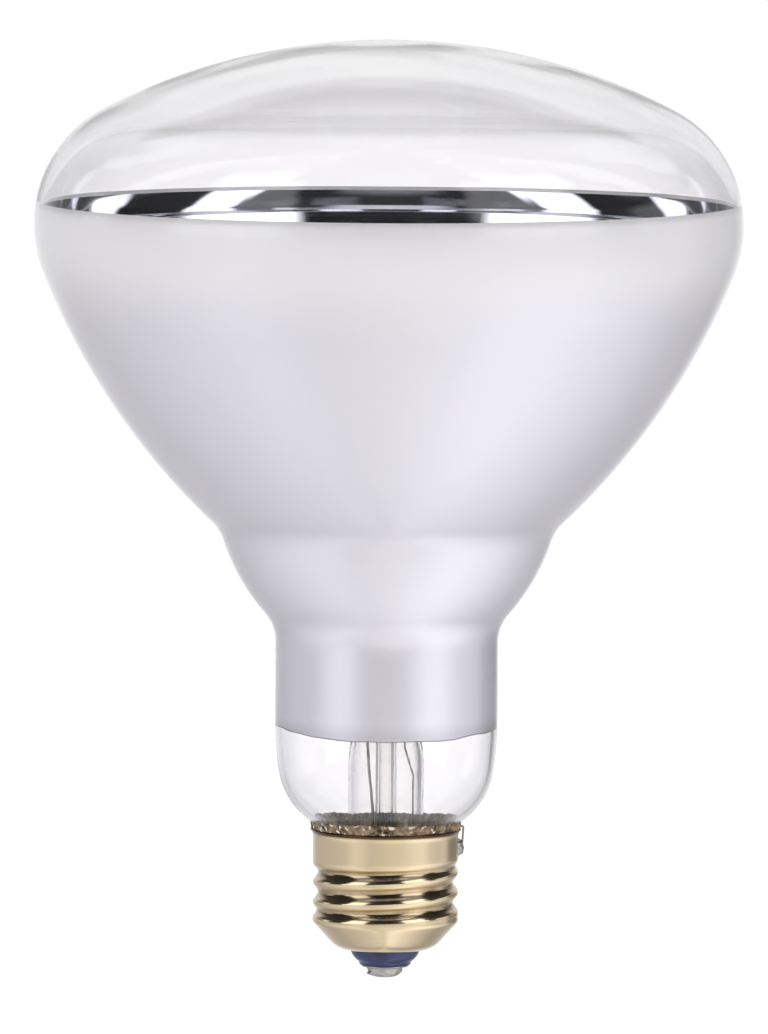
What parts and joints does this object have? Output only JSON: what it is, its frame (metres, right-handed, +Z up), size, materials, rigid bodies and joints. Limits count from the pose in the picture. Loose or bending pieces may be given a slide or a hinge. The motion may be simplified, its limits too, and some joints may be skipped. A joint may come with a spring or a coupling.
{
  "type": "infrared heat lamp bulb",
  "caption": "Infrared reflector heat lamp bulb with clear domed lens, mirrored glass bowl, filament ring and brass screw cap.",
  "frame": {"origin": "centre of the solder tip on the cap, the lowest point of the lamp, on the lamp axis", "axes": "+Z up the lamp axis from the cap to the lens; +X towards the solder bead on the shell rim, the right side in the picture; the picture looks along +Y"},
  "size_m": [0.127, 0.127, 0.1684],
  "materials": {
    "clear_glass": "polished",
    "mirror_film": "satin outside, bright inside",
    "brass": "rolled, lightly polished",
    "blue_glass": "glossy moulded glass",
    "solder": "soft satin",
    "cement": "matte",
    "nickel_wire": "drawn",
    "copper_wire": "dull",
    "aluminium": "mill",
    "molybdenum": "drawn",
    "tungsten": "drawn"
  },
  "bodies": {
    "root": {"glass_envelope": "clear_glass", "reflector_coating": "mirror_film", "stem_glass": "clear_glass", "exhaust_tube": "clear_glass", "arbor_rod": "clear_glass", "heat_shield": "aluminium", "inner_lead_centre": "nickel_wire", "inner_lead_side": "nickel_wire", "seal_wire_centre": "copper_wire", "seal_wire_side": "copper_wire", "outer_lead_centre": "nickel_wire", "outer_lead_side": "nickel_wire", "filament_support_1": "molybdenum", "filament_support_2": "molybdenum", "filament_support_3": "molybdenum", "filament_support_4": "molybdenum", "filament_support_5": "molybdenum", "filament": "tungsten", "screw_shell": "brass", "insulator": "blue_glass", "centre_contact": "solder", "centre_solder": "solder", "side_solder": "solder", "basing_cement": "cement"}
  },
  "joints": []
}
